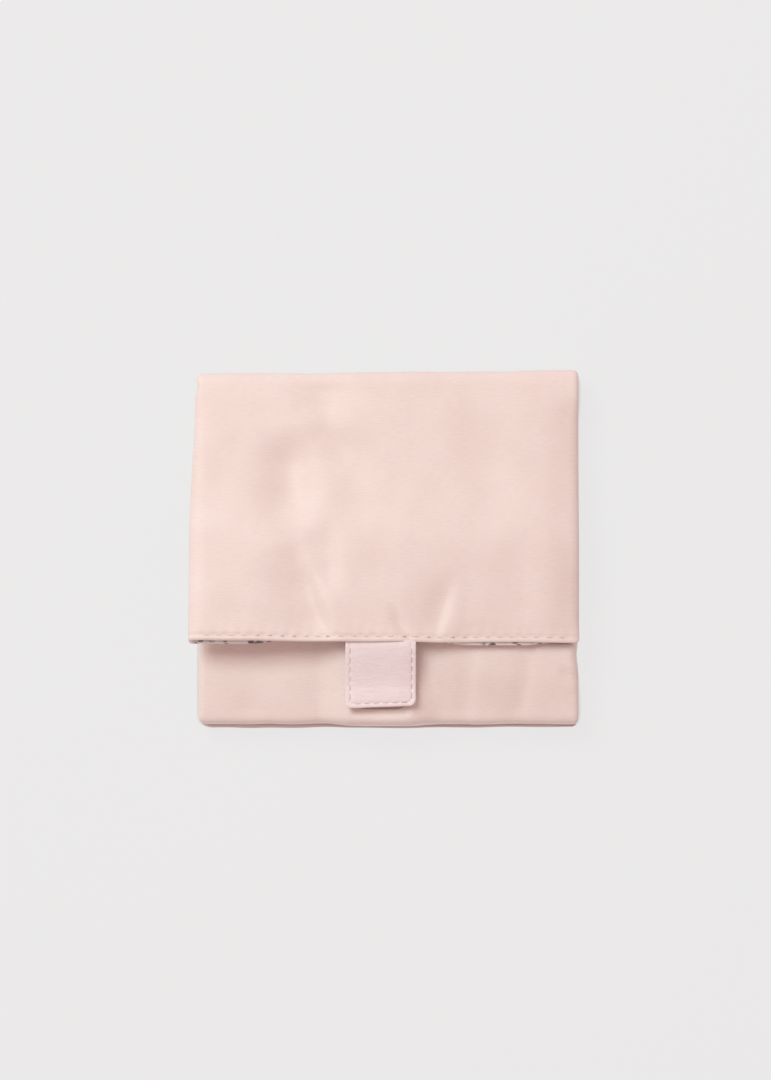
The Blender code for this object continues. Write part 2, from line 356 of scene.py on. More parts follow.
def pinch(station, x, depth):
    """How far the plies draw together at the flap's hem: most on the right, where it lies low."""
    if station.region != "flap":
        return np.zeros(depth.shape)
    near = 1 - float(smooth(station.from_hem / (11 * MM)))
    low = smooth((x - 18 * MM) / (20 * MM))
    closer = -(0.34 + 0.16 * low) * np.maximum(depth - PLY, 0)
    return near * (closer + 2.9 * MM * low)


LIP_TOP = 6.0 * MM                   # height of the lowest ply's standing edge
LIP_OUT = 0.1 * MM                   # how far it stands out
LIP_WANDER = 0.6 * MM
LIP_LEFT = 0.3 * MM                  # how much further it stands out on the left
WALL_OUT = 0.35 * MM                 # how far the wall above it stands out
GROOVE_HEIGHT = 7.6 * MM
GROOVE_DEPTH = 1.3 * MM
RIM_HEIGHT = 5.0 * MM
RIM_RISE = 2.0 * MM


def lip(station, x):
    """How far the lowest ply stands out along the bottom fold, past a groove and the wall above."""
    if station.region != "bottom_fold":
        return np.zeros(x.shape)
    height = station.origin[1]
    below = float(smooth((LIP_TOP - height) / (0.7 * MM)) * smooth((height - 0.6 * MM) / (2.4 * MM)))
    groove = float(bump(height - GROOVE_HEIGHT, 1.2 * MM))
    out = LIP_OUT + LIP_WANDER * waves(x, x * 0, 21 * MM, 2.9)
    out = out + LIP_LEFT * smooth((-8 * MM - x) / (30 * MM))
    wall = WALL_OUT * station.inward[0] ** 4
    return out * below - GROOVE_DEPTH * groove + wall * (1 - below)


def rim(station, depth):
    """How far the edge of the ply that stands out is turned up, which leaves a slot behind it."""
    if station.region != "bottom_fold":
        return np.zeros(depth.shape)
    outermost = np.clip(1 - 1.4 * depth / PLY, 0, 1)
    return RIM_RISE * float(bump(station.origin[1] - RIM_HEIGHT, 1.3 * MM)) * outermost


SWELL_RISE = 1.7 * MM
SWELL_Y = -50 * MM
SWELL_REACH = 24 * MM


def swell(x, y):
    """How far the front row's padding stands up beside the flap's hem, on the right."""
    on_right = smooth((x - 14 * MM) / (20 * MM))
    return SWELL_RISE * on_right * bump(y - SWELL_Y, SWELL_REACH) * (y < -20 * MM)


FLAP_DIP = 1.4 * MM                  # of the flap between the top fold and the front row's hem


def settle(station, x):
    """How far the whole flap lies below its straight line, where nothing under it holds it up."""
    if station.region != "flap":
        return np.zeros(x.shape)
    run = FLAP_LENGTH - station.from_hem
    over_front = 2 * HINGE_Y - FRONT_LENGTH
    dip = FLAP_DIP * math.sin(math.pi * min(run / over_front, 1.0)) ** 2
    drop = np.interp(x, *np.array(HEM_DROPS).T * MM)
    past = min(max((run - over_front + 10 * MM) / (FLAP_LENGTH - over_front + 10 * MM), 0.0), 1.0)
    late = 0.5 * past ** 1.5 + 0.5 * float(smooth(past))
    return dip + drop * (0.35 * run / FLAP_LENGTH + 0.65 * late)


def hem_reach(station, x, ply):
    """How far each ply runs past the plain hem: the ply below shows a little of its lining."""
    if station.region not in ("flap", "front"):
        return np.zeros(x.shape)
    near = 1 - float(smooth(station.from_hem / (14 * MM)))
    seed = 1.3 if station.region == "flap" else 9.9
    wave = 0.45 * MM * waves(x, x * 0, 26 * MM, seed)
    shows = np.maximum(smooth((-46 * MM - x) / (14 * MM)), smooth((x - 20 * MM) / (22 * MM)))
    shows = shows * smooth((80 * MM - x) / (14 * MM))
    beyond = np.where(ply == 1, 1.7 * MM * shows - 0.5 * MM, np.where(ply == 2, -0.6 * MM, 0.0))
    if station.region == "front":
        beyond = beyond * 0
    return (wave + beyond) * near


# which ply of the strip each point of its path is on: 0 is the outermost
PLY_OF_PATH = np.clip(np.round((PATH_DEPTH - PLY / 2) / (PLY + GAP)), 0, 2).astype(int)


def square_up(x, depth, station):
    """Draw the right-hand turn of the cloth out towards a square, most of all at the two folds."""
    near_fold = station.region in ("top_fold", "bottom_fold")
    power = 5.0 if near_fold else 2.4 + 2.6 * float(bump(abs(station.origin[0]) - HINGE_Y, 7 * MM))
    middle = RIGHT - STRIP / 2
    u = np.maximum(x - middle, 0) / (STRIP / 2)
    v = (depth - STRIP / 2) / (STRIP / 2)
    angle = np.arctan2(np.abs(v), u)
    grow = (np.cos(angle) ** power + np.sin(angle) ** power) ** (-1 / power)
    grow = np.where(u > 0, grow, 1.0)
    return middle + (x - middle) * grow, STRIP / 2 + (depth - STRIP / 2) * grow


CORNER = 4.2 * MM                    # radius of the worn bottom left corner
CORNER_POWER = 2.4                   # how squarely it is worn: 2 is a plain quarter circle
BOTTOM_EDGE = -82.6 * MM             # where the bottom fold stands out furthest
TOP_SLANT = 1.7 * MM                 # how much further out the top fold lies on the right
BOTTOM_SLANT = 0.4 * MM              # and how much less far the bottom fold does
BOTTOM_WANDER = 0.55 * MM
NOTCH_Y = 75.5 * MM                  # the dent in the left side, under the top edge
NOTCH_DEPTH = 0.9 * MM
KINK_Y = -48.5 * MM                  # the dent in the right side, under the flap's hem
KINK_DEPTH = 0.9 * MM


def drift(x, y, z):
    """The whole pad a little out of square, with worn corners, as it lies."""
    across = (x - FLAP_LEFT) / (RIGHT - FLAP_LEFT)
    top = smooth((y - HINGE_Y) / (7 * MM))
    bottom = smooth((-y - HINGE_Y) / (7 * MM))
    y = y + TOP_SLANT * across * top
    y = y + BOTTOM_WANDER * waves(x, x * 0, 30 * MM, 5.5) * bottom + BOTTOM_SLANT * (across - 0.5) * bottom
    drop = np.clip((CORNER - y + BOTTOM_EDGE) / CORNER, 0, 0.985)
    corner = CORNER * (1 - (1 - drop ** CORNER_POWER) ** (1 / CORNER_POWER))
    x = x + corner * smooth((-50 * MM - x) / (30 * MM))
    notch = bump(y - NOTCH_Y, 2.2 * MM) * smooth((-80 * MM - x) / (8 * MM))
    x = x + NOTCH_DEPTH * notch
    kink = bump(y - KINK_Y, 6 * MM) * smooth((x - 66 * MM) / (20 * MM)) * smooth((24 * MM - z) / (4 * MM))
    return x - KINK_DEPTH * kink, y


def section(station, offset):
    """The points of one cross-section, at an offset from the cloth's middle as a share of half its
    thickness: 1 is the satin face and -1 the lining face."""
    stretch = (RIGHT - station.left) / (RIGHT - FLAP_LEFT)
    full = edge_round(station.from_hem, EDGE_REACH)
    ends = np.minimum(PATH_WALK, PATH_WALK[-1] - PATH_WALK)
    thick = PLY / 2 * np.maximum(full * edge_round(ends, EDGE_REACH), 0.3) * offset
    x = RIGHT - (RIGHT - PATH_X) * stretch + PATH_NORMAL[:, 0] * thick
    depth = PATH_DEPTH + PATH_NORMAL[:, 1] * thick
    x, depth = square_up(x, depth, station)
    turned_up = rim(station, depth)
    depth = depth + relief(station, x, depth) + settle(station, x)
    depth = depth + pinch(station, x, depth) - lip(station, x)
    reach = hem_reach(station, x, PLY_OF_PATH) + turned_up
    across = station.origin + depth[:, None] * station.inward + reach[:, None] * station.along
    x, y = drift(x, across[:, 0], across[:, 1])
    return np.stack([x, y, across[:, 1]], axis=1)


def grid_faces(rows, columns):
    """Quads of a grid of points, numbered row by row."""
    faces = []
    for i in range(rows - 1):
        for j in range(columns - 1):
            a = i * columns + j
            faces.append((a, a + 1, a + columns + 1, a + columns))
    return faces


def new_mesh_object(name, points, faces, cloth=None):
    """A smooth mesh object; cloth holds each point's place on the flat cloth, for its weave."""
    mesh = bpy.data.meshes.new(name)
    mesh.from_pydata([tuple(p) for p in points], [], faces)
    mesh.update()
    if cloth is not None:
        attribute = mesh.attributes.new("cloth", "FLOAT_VECTOR", "POINT")
        attribute.data.foreach_set("vector", np.asarray(cloth, np.float32).ravel())
    mesh.shade_smooth()
    obj = bpy.data.objects.new(name, mesh)
    bpy.context.scene.collection.objects.link(obj)
    return obj


def strip_walk():
    """Each station's distance along the strip's outer face."""
    origins = np.array([station.origin for station in STATIONS])
    steps = np.linalg.norm(np.diff(origins, axis=0), axis=1)
    return np.concatenate([[0], np.cumsum(steps)])


WALK = strip_walk()
REGIONS = ("front", "bottom_fold", "back", "top_fold", "flap")


def region_rows(region):
    """The station numbers of a region."""
    return [i for i, station in enumerate(STATIONS) if station.region == region]


def closed_slab(outer, inner):
    """Points and faces of a closed slab between two grids of the same size."""
    rows, columns = outer.shape[:2]
    count = rows * columns
    points = np.concatenate([outer.reshape(-1, 3), inner.reshape(-1, 3)])
    top = grid_faces(rows, columns)
    faces = list(top)
    faces += [tuple(count + i for i in face[::-1]) for face in top]
    border = list(range(columns))
    border += [i * columns + columns - 1 for i in range(1, rows)]
    border += [(rows - 1) * columns + j for j in range(columns - 2, -1, -1)]
    border += [i * columns for i in range(rows - 2, 0, -1)]
    for a, b in zip(border, border[1:] + border[:1]):
        faces.append((b, a, count + a, count + b))
    return points, faces


def cloth_places(rows):
    """Where each point of those stations lies on the flat cloth."""
    along = WALK[rows]
    grid = np.stack(np.meshgrid(PATH_WALK, along), axis=-1)
    return np.concatenate([grid, np.zeros(grid.shape[:2] + (1,))], axis=-1)


def match_normals(obj, normals):
    """Give the points of a piece the whole strip's normals, so that no seam shows between pieces."""
    obj.data.normals_split_custom_set_from_vertices([tuple(n) for n in normals])


def point_normals(points, faces):
    """The smooth normal at each point of a mesh."""
    mesh = bpy.data.meshes.new("for_normals")
    mesh.from_pydata([tuple(p) for p in points], [], faces)
    mesh.update()
    normals = np.array([v.normal for v in mesh.vertices])
    bpy.data.meshes.remove(mesh)
    return normals


def lining_length(region, rows):
    """The lining's length along the strip; in a fold it is taken at the middle of the plies."""
    if region == "bottom_fold":
        return math.pi * (RADIUS - STRIP / 2)
    if region == "top_fold":
        return (math.pi - TILT) * (RADIUS - STRIP / 2)
    return WALK[rows[-1]] - WALK[rows[0]]


TUCK = 0.25                          # of the way to a row's next station


def tucked_ends(grid, rows, offset):
    """A fold's grid with a row more at each end, out of sight inside the rows that it joins."""
    added = []
    for edge, inside in ((rows[0], rows[0] - 1), (rows[-1], rows[-1] + 1)):
        start = section(STATIONS[edge], offset)
        added.append(start + TUCK * (section(STATIONS[inside], offset) - start))
    return np.concatenate([added[0][None], grid, added[1][None]])


def make_quilt():
    """The satin quilt and its lining, one piece of each for every row and fold."""
    outer = np.array([section(station, 1.0) for station in STATIONS])
    inner = np.array([section(station, -0.86) for station in STATIONS])
    lining = np.array([section(station, -1.0) for station in STATIONS])
    whole, whole_faces = closed_slab(outer, inner)
    normals = point_normals(whole, whole_faces).reshape(2, len(STATIONS), -1, 3)
    made = {}
    for region in REGIONS:
        rows = region_rows(region)
        tops, bottoms, sides = outer[rows], inner[rows], normals[:, rows]
        if region in ("bottom_fold", "top_fold"):
            rows = [rows[0] - 1] + rows + [rows[-1] + 1]
            tops = tucked_ends(outer[rows], rows, 0.6)
            bottoms = tucked_ends(inner[rows], rows, -0.5)
            padded_rows = [rows[0]] + rows + [rows[-1]]
            sides = normals[:, padded_rows]
            cloth = cloth_places(padded_rows).reshape(-1, 3)
        else:
            cloth = cloth_places(rows).reshape(-1, 3)
        points, faces = closed_slab(tops, bottoms)
        quilt = new_mesh_object(f"{region}_quilt", points, faces, np.concatenate([cloth, cloth]))
        match_normals(quilt, sides.reshape(-1, 3))
        sheet = new_mesh_object(f"{region}_lining_sheet", lining[rows].reshape(-1, 3),
                                [face[::-1] for face in grid_faces(len(rows), lining.shape[1])],
                                cloth_places(rows).reshape(-1, 3))
        made[region] = (quilt, sheet, lining_length(region, rows))
    return made


# ------------------------------------------------------------------ materials
SATIN_LIGHT = (0.870, 0.800, 0.746)
SATIN_DARK = (0.800, 0.700, 0.646)
CREVICE_PAINTED_SHADE = (0.30, 0.17, 0.17)         # painted shade: what the satin's colour is multiplied by, deep in a fold
LEATHER_LIGHT = (0.91, 0.86, 0.86)
LEATHER_DARK = (0.83, 0.76, 0.76)
THREAD_LIGHT = (0.88, 0.70, 0.64)
THREAD_DARK = (0.66, 0.46, 0.40)
TAPE_LIGHT = (0.80, 0.62, 0.56)
TAPE_DARK = (0.52, 0.36, 0.31)
LINING_GROUND = (0.78, 0.76, 0.72)
LINING_MARK = (0.14, 0.145, 0.165)


def new_material(name):
    """A material with its nodes, its links and its shader."""
    material = bpy.data.materials.new(name)
    material.use_nodes = True
    nodes = material.node_tree.nodes
    return material, nodes, material.node_tree.links, nodes["Principled BSDF"]


def cloth_vector(nodes):
    """The place on the flat cloth, in metres."""
    node = nodes.new("ShaderNodeAttribute")
    node.attribute_name = "cloth"
    return node.outputs["Vector"]


def noise_node(nodes, links, vector, scale, detail=2.0, roughness=0.5):
    """Noise from 0 to 1 at each place of the cloth."""
    node = nodes.new("ShaderNodeTexNoise")
    node.inputs["Scale"].default_value = scale
    node.inputs["Detail"].default_value = detail
    node.inputs["Roughness"].default_value = roughness
    links.new(vector, node.inputs["Vector"])
    return node.outputs["Fac"]


def wave_node(nodes, links, vector, direction, per_metre, distortion=0.0):
    """Ridges along an axis, per_metre of them: at a scale of 1 the wave has 10 / pi in a metre."""
    node = nodes.new("ShaderNodeTexWave")
    node.bands_direction = direction
    node.inputs["Scale"].default_value = per_metre * math.pi / 10
    node.inputs["Distortion"].default_value = distortion
    links.new(vector, node.inputs["Vector"])
    return node.outputs["Fac"]


def maths(nodes, links, operation, a, b):
    """Two numbers or outputs, put together by a math node."""
    node = nodes.new("ShaderNodeMath")
    node.operation = operation
    for socket, value in zip(node.inputs, (a, b)):
        if isinstance(value, (int, float)):
            socket.default_value = value
        else:
            links.new(value, socket)
    return node.outputs["Value"]


def ramp(nodes, links, fac, low, high, colour_low, colour_high):
    """A colour that goes from one to the other as fac goes from low to high."""
    node = nodes.new("ShaderNodeValToRGB")
    node.color_ramp.elements[0].position = low
    node.color_ramp.elements[0].color = (*colour_low, 1)
    node.color_ramp.elements[1].position = high
    node.color_ramp.elements[1].color = (*colour_high, 1)
    links.new(fac, node.inputs["Fac"])
    return node.outputs["Color"]


def add_bump(nodes, links, shader, height, distance, strength):
    """Fine relief from a height of 0 to 1, over a distance in metres."""
    node = nodes.new("ShaderNodeBump")
    node.inputs["Distance"].default_value = distance
    node.inputs["Strength"].default_value = strength
    links.new(height, node.inputs["Height"])
    links.new(node.outputs["Normal"], shader.inputs["Normal"])


def weave_height(nodes, links, vector, per_metre):
    """A plain weave: warp and weft ridges, over and under each other."""
    warp = wave_node(nodes, links, vector, "X", per_metre)
    weft = wave_node(nodes, links, vector, "Y", per_metre)
    return maths(nodes, links, "MAXIMUM", warp, weft)


def stretched(nodes, links, vector, scale):
    """The cloth's place scaled unevenly, for marks that run along one of its threads."""
    node = nodes.new("ShaderNodeMapping")
    node.inputs["Scale"].default_value = scale
    links.new(vector, node.inputs["Vector"])
    return node.outputs["Vector"]


def paint_crevice_shade(nodes, links, colour, reach):
    """Paint shade into a colour: darken it by ambient occlusion where folds of the cloth come within reach
    of each other.
    """
    contact = nodes.new("ShaderNodeAmbientOcclusion")
    contact.inputs["Distance"].default_value = reach
    contact.samples = 8
    shade = ramp(nodes, links, contact.outputs["AO"], 0.58, 0.88, CREVICE_PAINTED_SHADE, (1, 1, 1))
    mix = nodes.new("ShaderNodeMix")
    mix.data_type = "RGBA"
    mix.blend_type = "MULTIPLY"
    mix.inputs["Factor"].default_value = 1.0
    links.new(colour, mix.inputs["A"])
    links.new(shade, mix.inputs["B"])
    return mix.outputs["Result"]


def satin_material():
    """Dusty pink satin: a fine weave, slubs along the weft, soft sheen and uneven dye, with painted shade
    in its crevices.
    """
    material, nodes, links, shader = new_material("satin_pink")
    vector = cloth_vector(nodes)
    dye = noise_node(nodes, links, vector, 45, 3)
    slub = noise_node(nodes, links, stretched(nodes, links, vector, (0.16, 1.0, 1.0)), 1500, 4, 0.65)
    grain = noise_node(nodes, links, vector, 1900, 2, 0.6)
    thread = maths(nodes, links, "ADD", maths(nodes, links, "MULTIPLY", slub, 0.45),
                   maths(nodes, links, "MULTIPLY", grain, 0.25))
    mix = maths(nodes, links, "ADD", maths(nodes, links, "MULTIPLY", dye, 0.30), thread)
    colour = ramp(nodes, links, mix, 0.36, 0.64, SATIN_DARK, SATIN_LIGHT)
    # the satin's colour is darkened in its crevices: painted shade
    links.new(paint_crevice_shade(nodes, links, colour, 2.2 * MM), shader.inputs["Base Color"])
    rough = maths(nodes, links, "ADD", maths(nodes, links, "MULTIPLY", slub, 0.16), 0.40)
    links.new(rough, shader.inputs["Roughness"])
    shader.inputs["Sheen Weight"].default_value = 0.2
    shader.inputs["Sheen Roughness"].default_value = 0.45
    shader.inputs["Sheen Tint"].default_value = (1.0, 0.84, 0.80, 1)
    shader.inputs["Specular IOR Level"].default_value = 0.42
    weave = weave_height(nodes, links, vector, 2800)
    height = maths(nodes, links, "ADD", maths(nodes, links, "MULTIPLY", weave, 0.5), slub)
    add_bump(nodes, links, shader, height, 0.10 * MM, 0.55)
    return material


def lining_material():
    """Wipe-clean cotton: off-white, with small irregular grey marks printed on it."""
    material, nodes, links, shader = new_material("lining_print")
    vector = cloth_vector(nodes)
    marks = nodes.new("ShaderNodeTexVoronoi")
    marks.inputs["Scale"].default_value = 400
    links.new(stretched(nodes, links, vector, (0.6, 1.0, 1.0)), marks.inputs["Vector"])
    printed = ramp(nodes, links, marks.outputs["Distance"], 0.30, 0.44, LINING_MARK, LINING_GROUND)
    patches = noise_node(nodes, links, vector, 60, 2)
    keep = ramp(nodes, links, patches, 0.34, 0.46, (0, 0, 0), (1, 1, 1))
    blend = nodes.new("ShaderNodeMix")
    blend.data_type = "RGBA"
    blend.inputs["A"].default_value = (*LINING_GROUND, 1)
    links.new(printed, blend.inputs["B"])
    links.new(keep, blend.inputs["Factor"])
    links.new(blend.outputs["Result"], shader.inputs["Base Color"])
    shader.inputs["Roughness"].default_value = 0.38
    shader.inputs["Coat Weight"].default_value = 0.2
    shader.inputs["Coat Roughness"].default_value = 0.35
    add_bump(nodes, links, shader, weave_height(nodes, links, vector, 1800), 0.06 * MM, 0.5)
    return material


def leather_material():
    """Pale pink leather look: a fine grain drawn out across the tab, with a soft gloss."""
    material, nodes, links, shader = new_material("tab_leather")
    vector = cloth_vector(nodes)
    lines = noise_node(nodes, links, stretched(nodes, links, vector, (0.16, 1.0, 1.0)), 900, 3, 0.6)
    fine = noise_node(nodes, links, stretched(nodes, links, vector, (0.4, 1.0, 1.0)), 1500, 3, 0.6)
    mix = maths(nodes, links, "ADD", maths(nodes, links, "MULTIPLY", lines, 0.55),
                maths(nodes, links, "MULTIPLY", fine, 0.45))
    colour = ramp(nodes, links, mix, 0.33, 0.67, LEATHER_DARK, LEATHER_LIGHT)
    links.new(colour, shader.inputs["Base Color"])
    rough = maths(nodes, links, "ADD", maths(nodes, links, "MULTIPLY", fine, 0.2), 0.36)
    links.new(rough, shader.inputs["Roughness"])
    shader.inputs["Specular IOR Level"].default_value = 0.5
    add_bump(nodes, links, shader, mix, 0.30 * MM, 0.8)
    return material


def thread_material():
    """Sewing thread: pink polyester with a fine twist."""
    material, nodes, links, shader = new_material("thread_pink")
    vector = cloth_vector(nodes)
    twist = wave_node(nodes, links, vector, "DIAGONAL", 2200)
    colour = ramp(nodes, links, twist, 0.2, 0.8, THREAD_DARK, THREAD_LIGHT)
    links.new(colour, shader.inputs["Base Color"])
    shader.inputs["Roughness"].default_value = 0.45
    shader.inputs["Sheen Weight"].default_value = 0.3
    add_bump(nodes, links, shader, twist, 0.08 * MM, 0.8)
    return material


def tape_material():
    """Hook and loop tape: matte, woven, with a fuzzy face."""
    material, nodes, links, shader = new_material("hook_loop_tape")
    vector = cloth_vector(nodes)
    fuzz = noise_node(nodes, links, vector, 1400, 4, 0.7)
    colour = ramp(nodes, links, fuzz, 0.3, 0.7, TAPE_DARK, TAPE_LIGHT)
    links.new(colour, shader.inputs["Base Color"])
    shader.inputs["Roughness"].default_value = 0.85
    shader.inputs["Sheen Weight"].default_value = 0.4
    add_bump(nodes, links, shader, fuzz, 0.35 * MM, 0.9)
    return material


def floor_material():
    """The studio's pale light table: it glows evenly, so the pad hardly shades it; its glow is darkened by
    ambient occlusion close to the pad, a painted contact shadow.
    """
    material, nodes, links, shader = new_material("studio_table")
    place = nodes.new("ShaderNodeTexCoord")
    grain = noise_node(nodes, links, place.outputs["Object"], 3, 2)
    colour = ramp(nodes, links, grain, 0.0, 1.0, (0.07, 0.07, 0.07), (0.08, 0.08, 0.08))
    links.new(colour, shader.inputs["Base Color"])
    # painted contact shadow: the glow darkens within 3 mm of the pad
    contact = nodes.new("ShaderNodeAmbientOcclusion")
    contact.inputs["Distance"].default_value = 3 * MM
    contact.samples = 8
    links.new(contact.outputs["Color"], shader.inputs["Emission Color"])
    shader.inputs["Emission Strength"].default_value = TABLE_GLOW
    shader.inputs["Roughness"].default_value = 0.8
    shader.inputs["Specular IOR Level"].default_value = 0.0
    return material


# ------------------------------------------------------------------ stitches
def stitch_piece(name, seams, length, radius, material, body, node):
    """Separate stitches as one piece. Each stitch is a middle, a direction and an up vector."""
    rings, sides = 7, 8
    points, faces, cloth = [], [], []
    for middle, direction, up in seams:
        middle = np.array(middle)
        ahead = np.array(direction) / np.linalg.norm(direction)
        up = np.array(up) / np.linalg.norm(up)
        side = np.cross(ahead, up)
        base = len(points)
        for i in range(rings):
            t = -1 + 2 * i / (rings - 1)
            fullness = math.sqrt(max(1 - abs(t) ** 3.0, 0.03))
            sink = -radius * 1.1 * abs(t) ** 2.5
            for k in range(sides):
                angle = 2 * math.pi * k / sides
                spot = middle + ahead * t * length / 2 + up * sink
                spot = spot + radius * fullness * (math.cos(angle) * side + math.sin(angle) * up)
                points.append(spot)
                cloth.append((t * length / 2 + angle * radius, angle * radius, 0))
        for i in range(rings - 1):
            for k in range(sides):
                a = base + i * sides + k
                b = base + i * sides + (k + 1) % sides
                faces.append((a, b, b + sides, a + sides))
        faces.append(tuple(base + k for k in range(sides - 1, -1, -1)))
        faces.append(tuple(base + (rings - 1) * sides + k for k in range(sides)))
    obj = new_mesh_object(name, points, faces, cloth)
    obj.data.materials.append(material)
    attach(obj, body)
    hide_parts(node)
    return obj


def hem_seam(region, first, last):
    """The stitches along a row's hem, lying on its satin."""
    rows = region_rows(region)
    nearest = min(rows, key=lambda i: abs(STATIONS[i].from_hem - HEM_INSET))
    face = section(STATIONS[nearest], 1.0)
    flat = (PLY_OF_PATH == 0) & (np.abs(PATH_NORMAL[:, 1]) > 0.99)
    line = face[flat]
    line = line[np.argsort(line[:, 0])]
    seams = []
    up = (0, -STATIONS[nearest].inward[0], -STATIONS[nearest].inward[1])
    count = int((last - first) / HEM_PITCH)
    for i in range(count):
        x = (math.ceil(first / HEM_PITCH) + i + 0.5) * HEM_PITCH
        y = np.interp(x, line[:, 0], line[:, 1])
        z = np.interp(x, line[:, 0], line[:, 2])
        seams.append(((x, y, z), (1, 0, 0), up))
    return seams


# ------------------------------------------------------------------ the tab
TAB_HALF = (tab_high.x - tab_low.x) / 2
TAB_MIDDLE = (tab_high.x + tab_low.x) / 2
TAB_LENGTH = TAB_ROOT.y - tab_low.y
TAB_FALL = 19 * MM
TAB_SKIN = 0.8 * MM
TAB_CORNER = 3.2 * MM
TAB_INSET = 2.1 * MM                 # from the tab's edge to its stitches
TAB_PITCH = 4.3 * MM
TAB_SKEW = 1.3 * MM                  # the end is cut a little out of square
TAB_SHORT = 1.5 * MM                 # worn and curled, it reaches a little less far than when new
TAB_HIDDEN = 3.0 * MM                # of the tab inside the flap's hem
TAB_FLAT_Z = backing_low.z + TAB_SKIN + GAP / 2 + PATCH_RAISE
TAB_START_Z = TAB_ROOT.z - 4.2 * MM  # the tab's middle where it leaves the sunken hem


def tab_height(run):
    """How high the tab's middle is at a distance from the hem: a slope that eases into its flat end."""
    share = np.clip(run / TAB_FALL, 0.0, 1.0)
    fall = 0.55 * share + 0.45 * smooth(share)
    return TAB_START_Z + (TAB_FLAT_Z - TAB_START_Z) * fall


def tab_grid(thickness, lift, shrink, groove):
    """One skin of the tab as a closed slab, lifted from the tab's middle by lift."""
    columns, rows = 75, 76
    across = np.sin(np.linspace(-1, 1, columns) * math.pi / 2 * 0.96) / math.sin(math.pi / 2 * 0.96)
    share = np.linspace(0, 1, rows)
    length = TAB_LENGTH - TAB_SHORT - shrink
    run = -TAB_HIDDEN + (length + TAB_HIDDEN) * (1 - (1 - share) ** 1.15)
    corner = np.clip(run - (length - TAB_CORNER), 0, TAB_CORNER)
    half = TAB_HALF - shrink - (TAB_CORNER - np.sqrt(TAB_CORNER ** 2 - corner ** 2))
    x = across[None, :] * half[:, None]
    run = np.repeat(run[:, None], columns, axis=1)
    skewed = run - TAB_SKEW * (x / TAB_HALF + 1) / 2 * np.clip(run / TAB_LENGTH, 0, 1)
    side = half[:, None] - np.abs(x)
    end = length - run
    edge = np.minimum(side, end)
    full = edge_round(edge, 0.7 * MM)
    level = tab_height(skewed) + lift
    level = level + 0.25 * MM * smooth(edge / (6 * MM))
    level = level + 0.22 * MM * waves(x, run, 9 * MM, 4.4)
    if groove:
        seam = bump(edge - TAB_INSET, 0.55 * MM)
        along = np.where(side < end, run, x)
        holes = (0.5 + 0.5 * np.cos(2 * math.pi * along / TAB_PITCH)) ** 6
        level = level - (0.12 + 0.30 * holes) * MM * seam
    grids = []
    for sign in (1, -1):
        z = level + sign * thickness / 2 * np.maximum(full, 0.05)
        grids.append(np.stack([x + TAB_MIDDLE, TAB_ROOT.y - skewed, z], axis=-1))
    cloth = np.stack([x, run, np.zeros(x.shape)], axis=-1).reshape(-1, 3)
    points, faces = closed_slab(grids[0], grids[1])
    return points, [face[::-1] for face in faces], np.concatenate([cloth, cloth])


def make_tab(leather, thread):
    """The tab's face, its backing and the stitches round its edge."""
    lift = (TAB_SKIN + GAP) / 2
    for name, raised, shrink, groove, node in (
        ("tab_face_skin", lift, 0.0, True, "tab_face"),
        ("tab_backing_skin", -lift, 0.25 * MM, False, "tab_backing"),
    ):
        points, faces, cloth = tab_grid(TAB_SKIN + GAP, raised, shrink, groove)
        skin = new_mesh_object(name, points, faces, cloth)
        skin.data.materials.append(leather)
        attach(skin, "tab")
        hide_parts(node)

    def on_face(x, run):
        skewed = run - TAB_SKEW * (x / TAB_HALF + 1) / 2 * run / TAB_LENGTH
        z = float(tab_height(np.array(skewed))) + TAB_SKIN + 1.2 * GAP
        return Vector((x + TAB_MIDDLE, TAB_ROOT.y - skewed, z))

    seams = []
    half = TAB_HALF - TAB_INSET
    bottom = TAB_LENGTH - TAB_SHORT - TAB_INSET
    for sign in (-1, 1):
        for i in range(int(bottom / TAB_PITCH)):
            run = (i + 0.5) * TAB_PITCH
            a, b = on_face(sign * half, run - MM), on_face(sign * half, run + MM)
            ahead = b - a
            up = Vector((0, ahead.z, -ahead.y))
            seams.append(((a + b) / 2, ahead, up))
    for i in range(-3, 3):
        x = (i + 0.5) * TAB_PITCH
        a, b = on_face(x - MM, bottom), on_face(x + MM, bottom)
        seams.append(((a + b) / 2, b - a, (0, 0, 1)))
    stitch_piece("tab_stitches", seams, 3.1 * MM, 0.20 * MM, thread, "tab", "tab_thread")


# ------------------------------------------------------------------ hook and loop patches
def make_patch(node, name, body, material):
    """A small tape patch with rounded corners and a fuzzy, uneven face."""
    low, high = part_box(node)
    centre = (low + high) / 2
    half_x, half_y = (high.x - low.x) / 2, (high.y - low.y) / 2
    share = np.linspace(-1, 1, 41)
    u, v = np.meshgrid(share, share)
    x = u * half_x * (1 - 0.06 * np.abs(v) ** 8)
    y = v * half_y * (1 - 0.10 * np.abs(u) ** 8)
    edge = np.minimum(half_x * (1 - np.abs(u)), half_y * (1 - np.abs(v)))
    full = np.maximum(edge_round(edge, 0.5 * MM), 0.05)
    fuzz = 0.10 * MM * waves(x, y, 0.9 * MM, 2.2)
    thick = (high.z - low.z) / 2 * full
    level = centre.z + PATCH_RAISE + fuzz
    grids = [np.stack([x + centre.x, y + centre.y, level + sign * (thick - 0.1 * MM)], -1)
             for sign in (1, -1)]
    points, faces = closed_slab(grids[0], grids[1])
    cloth = np.stack([x, y, np.zeros(x.shape)], -1).reshape(-1, 3)
    obj = new_mesh_object(name, points, faces, np.concatenate([cloth, cloth]))
    obj.data.materials.append(material)
    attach(obj, body)
    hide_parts(node)


